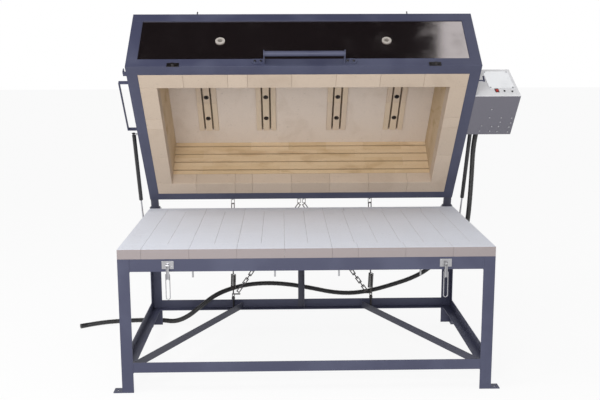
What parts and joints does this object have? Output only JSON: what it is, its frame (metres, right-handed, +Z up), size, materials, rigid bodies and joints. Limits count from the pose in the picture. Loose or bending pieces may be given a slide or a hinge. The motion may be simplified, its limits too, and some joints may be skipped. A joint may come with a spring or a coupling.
{
  "type": "clamshell glass fusing kiln",
  "caption": "Clamshell glass fusing kiln on a steel stand, with a brick-lined hinged lid, a flat brick bed, gas struts, pull latches and a side control box.",
  "frame": {"origin": "on the floor, below the middle of the bed and of the four foot bolts", "axes": "+X along the kiln towards the control box, +Y towards the hinges, +Z up"},
  "size_m": [2.4968, 1.4279, 1.858],
  "materials": {
    "frame_paint": "satin slate blue-grey paint",
    "rear_paint": "satin near-black paint",
    "mirror_sheet": "polished stainless sheet",
    "bed_brick": "washed insulating firebrick",
    "rim_brick": "matte insulating firebrick",
    "wall_brick": "matte insulating firebrick",
    "side_brick": "matte insulating firebrick",
    "holder_brick": "matte insulating firebrick",
    "roof_fibre": "rigid ceramic fibre",
    "wool_fibre": "ceramic fibre blanket",
    "element_wire": "oxidised resistance wire",
    "sleeve_ceramic": "glazed ceramic",
    "zinc": "zinc-plated steel",
    "black_steel": "black oxide steel",
    "strut_black": "gloss black tube",
    "rod_chrome": "hard chrome",
    "box_grey": "satin grey paint",
    "panel_white": "satin off-white paint",
    "plate_steel": "brushed sheet",
    "fitting_black": "black plastic",
    "rocker_red": "red plastic",
    "conduit_black": "corrugated black sheath"
  },
  "bodies": {
    "stand": {"stand_legs": "frame_paint", "foot_plates": "frame_paint", "lower_rails": "frame_paint", "lower_braces": "rear_paint", "centre_post": "rear_paint", "bed_frame": "frame_paint", "bed_crossbars": "rear_paint", "bed_studs": "zinc", "bed_bricks": "bed_brick", "hinge_brackets": "rear_paint", "hinge_pins": "zinc", "latch_bases": "zinc", "restraint_eyes": "black_steel", "conduit": "conduit_black", "conduit_clip": "zinc", "conduit_fitting": "conduit_black"},
    "lid": {"hinge_arms": "rear_paint", "lid_rim_frame": "frame_paint", "lid_top_frame": "frame_paint", "lid_corner_posts": "frame_paint", "lid_front_panel": "mirror_sheet", "lid_rear_panel": "mirror_sheet", "lid_side_panels": "mirror_sheet", "lid_top_panel": "mirror_sheet", "lid_rim_bricks": "rim_brick", "lid_front_bricks": "wall_brick", "lid_rear_bricks": "wall_brick", "lid_side_bricks": "side_brick", "wall_backing": "wool_fibre", "roof_board": "roof_fibre", "ceiling_holders": "holder_brick", "ceiling_bolts": "black_steel", "heating_elements": "element_wire", "lid_handle": "frame_paint", "lid_bolts": "zinc", "peep_sleeves": "sleeve_ceramic", "thermocouple": "sleeve_ceramic", "side_bracket": "frame_paint", "latch_keepers": "black_steel", "strut_upper_studs": "zinc", "chain_brackets": "black_steel", "control_box": "box_grey", "control_panel": "panel_white", "controller_plate": "plate_steel", "controller_screws": "zinc", "panel_fittings": "fitting_black", "conduit_gland": "conduit_black"},
    "power_rocker": {"power_rocker": "rocker_red"},
    "left_latch_lever": {"left_latch_lever": "zinc"},
    "right_latch_lever": {"right_latch_lever": "zinc"},
    "left_latch_bail": {"left_latch_bail": "zinc"},
    "right_latch_bail": {"right_latch_bail": "zinc"},
    "left_strut_cylinder": {"left_strut_cylinder": "strut_black"},
    "right_strut_cylinder": {"right_strut_cylinder": "strut_black"},
    "left_strut_rod": {"left_strut_rod": "rod_chrome"},
    "right_strut_rod": {"right_strut_rod": "rod_chrome"},
    "left_restraint": {"left_restraint_spring": "black_steel", "left_restraint_chain": "black_steel"},
    "right_restraint": {"right_restraint_spring": "black_steel", "right_restraint_chain": "black_steel"}
  },
  "joints": [
    {"name": "lid_hinge", "type": "hinge", "parent": "stand", "child": "lid", "pos_m": [0, 0.59325, 0.709], "axis": [1, 0, 0], "range_deg": [0, 49.66], "stiffness_Nm_per_rad": 1000, "springref_deg": -31.51, "deforming": ["conduit"]},
    {"name": "rocker_press", "type": "hinge", "parent": "lid", "child": "power_rocker", "pos_m": [1.035, 0.07509, 1.43492], "axis": [1, 0, 0], "range_deg": [-8, 8]},
    {"name": "left_strut_swing", "type": "hinge", "parent": "lid", "child": "left_strut_cylinder", "pos_m": [-0.94, 0.26505, 1.19278], "axis": [1, 0, 0], "range_deg": [0, 3.26]},
    {"name": "left_strut_stroke", "type": "slide", "parent": "left_strut_cylinder", "child": "left_strut_rod", "axis": [0, 0.377, -0.9262], "range_m": [-0.09891, 0]},
    {"name": "left_restraint_swing", "type": "hinge", "parent": "stand", "child": "left_restraint", "pos_m": [-0.417, 0.5, 0.172], "axis": [1, 0, 0], "range_deg": [0, 5.36]},
    {"name": "left_lever_lift", "type": "hinge", "parent": "stand", "child": "left_latch_lever", "pos_m": [-0.667, -0.54005, 0.645], "axis": [-1, 0, 0], "range_deg": [0, 80]},
    {"name": "left_bail_swing", "type": "hinge", "parent": "left_latch_lever", "child": "left_latch_bail", "pos_m": [-0.667, -0.54105, 0.603], "axis": [1, 0, 0], "range_deg": [-180, 0]},
    {"name": "right_strut_swing", "type": "hinge", "parent": "lid", "child": "right_strut_cylinder", "pos_m": [0.94, 0.26505, 1.19278], "axis": [1, 0, 0], "range_deg": [0, 3.26]},
    {"name": "right_strut_stroke", "type": "slide", "parent": "right_strut_cylinder", "child": "right_strut_rod", "axis": [0, 0.377, -0.9262], "range_m": [-0.09891, 0]},
    {"name": "right_restraint_swing", "type": "hinge", "parent": "stand", "child": "right_restraint", "pos_m": [0.417, 0.5, 0.172], "axis": [1, 0, 0], "range_deg": [0, 5.36]},
    {"name": "right_lever_lift", "type": "hinge", "parent": "stand", "child": "right_latch_lever", "pos_m": [0.667, -0.54005, 0.645], "axis": [-1, 0, 0], "range_deg": [0, 80]},
    {"name": "right_bail_swing", "type": "hinge", "parent": "right_latch_lever", "child": "right_latch_bail", "pos_m": [0.667, -0.54105, 0.603], "axis": [1, 0, 0], "range_deg": [-180, 0]}
  ],
  "couplings": [
    {"joint": "left_strut_swing", "follows": "lid_hinge", "ratio": 0.065498},
    {"joint": "left_strut_stroke", "follows": "lid_hinge", "m_per_rad": -0.11401},
    {"joint": "left_restraint_swing", "follows": "lid_hinge", "ratio": 0.10781},
    {"joint": "right_strut_swing", "follows": "lid_hinge", "ratio": 0.065498},
    {"joint": "right_strut_stroke", "follows": "lid_hinge", "m_per_rad": -0.11401},
    {"joint": "right_restraint_swing", "follows": "lid_hinge", "ratio": 0.10781}
  ]
}
